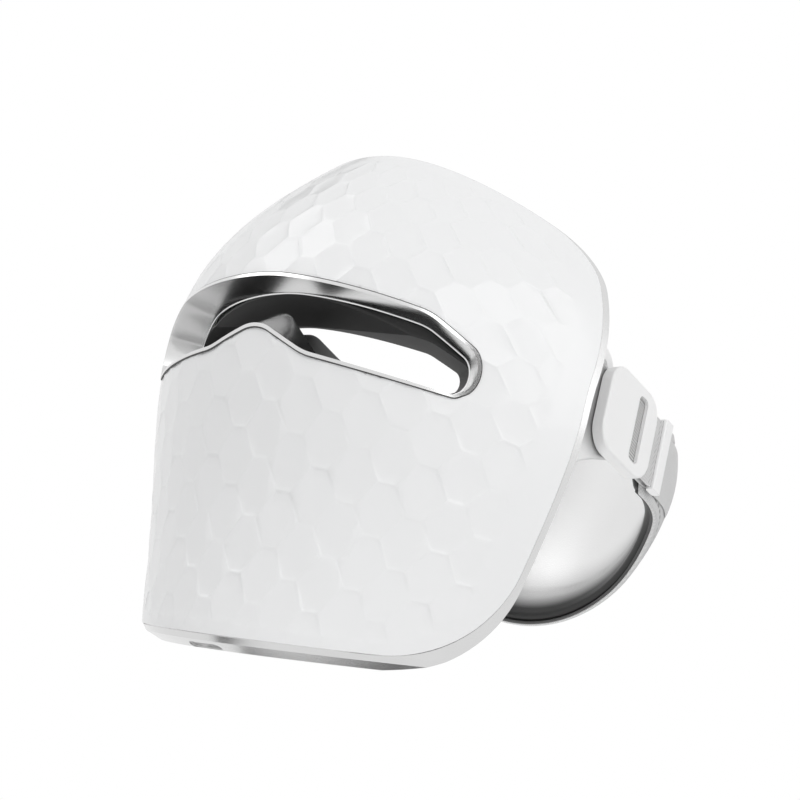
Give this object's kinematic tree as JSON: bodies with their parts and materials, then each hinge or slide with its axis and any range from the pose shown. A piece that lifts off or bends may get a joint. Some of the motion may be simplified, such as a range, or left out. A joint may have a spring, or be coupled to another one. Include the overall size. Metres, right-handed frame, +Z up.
{
  "type": "light therapy face mask",
  "caption": "Rigid faceted face mask with a chrome-lined eye slot, light emitters inside, and a slotted side strap on each side leading to a padded rear head cradle.",
  "frame": {"origin": "in the plane of the mask's back edge, midway across, at half the height of the front shell", "axes": "+Z up towards the forehead, -Y the way the mask faces, +X the wearer's left"},
  "size_m": [0.1912, 0.2047, 0.1898],
  "materials": {
    "white_gloss": "gloss",
    "white_satin": "satin",
    "bright_chrome": "polished",
    "silver_satin": "satin metallic",
    "silver_soft": "fine-grained soft sheet",
    "shield_dark": "matte silicone",
    "pad_soft": "soft silicone",
    "liner": "translucent satin",
    "board": "white circuit board",
    "emitter": "clear yellow",
    "cell": "foil pouch",
    "steel": "brushed",
    "webbing": "woven, ribbed"
  },
  "bodies": {
    "mask": {"front_shell": "white_gloss", "eye_bezel": "bright_chrome", "rim_frame": "silver_satin", "led_board": "board", "led_array": "emitter", "inner_liner": "liner", "eye_shield": "shield_dark", "forehead_pad": "pad_soft", "cheek_pad_left": "pad_soft", "cheek_pad_right": "pad_soft", "battery_cell_left": "cell", "battery_cell_right": "cell", "tact_switch": "board", "control_board": "board", "charging_socket": "steel", "charge_board": "board", "key_surround": "bright_chrome", "temple_bracket_left": "silver_satin", "temple_bracket_right": "silver_satin", "bracket_screws": "steel"},
    "power_key": {"power_key": "bright_chrome"},
    "harness": {"temple_ring_left": "white_satin", "temple_ring_right": "white_satin", "pivot_pin_left": "steel", "pivot_pin_right": "steel", "strap_tab_left": "silver_soft", "strap_tab_right": "silver_soft", "tab_rivets_left": "steel", "tab_rivets_right": "steel", "buckle_left": "white_satin", "buckle_right": "white_satin", "webbing_turn_left": "webbing", "webbing_turn_right": "webbing"},
    "cradle": {"cradle_shell": "webbing", "cradle_pad": "silver_soft", "webbing_left": "webbing", "webbing_right": "webbing"},
    "clips": {"end_clip_left": "white_satin", "end_clip_right": "white_satin", "webbing_tail_left": "webbing", "webbing_tail_right": "webbing"}
  },
  "joints": [
    {"name": "key_press", "type": "slide", "parent": "mask", "child": "power_key", "axis": [0, 0.3297, 0.9441], "range_m": [0, 0.0008], "stiffness_N_per_m": 1500, "springref_m": -0.0006},
    {"name": "harness_tilt", "type": "hinge", "parent": "mask", "child": "harness", "pos_m": [0, 0.00852, 0.02267], "axis": [1, 0, 0], "range_deg": [-10, 12]},
    {"name": "cradle_slide", "type": "slide", "parent": "harness", "child": "cradle", "axis": [0, 0.9613, -0.2756], "range_m": [-0.01, 0.006]},
    {"name": "clip_slide", "type": "slide", "parent": "harness", "child": "clips", "axis": [0, 0.9613, -0.2756], "range_m": [-0.006, 0.01]}
  ],
  "couplings": [
    {"joint": "clip_slide", "follows": "cradle_slide", "ratio": -1}
  ]
}
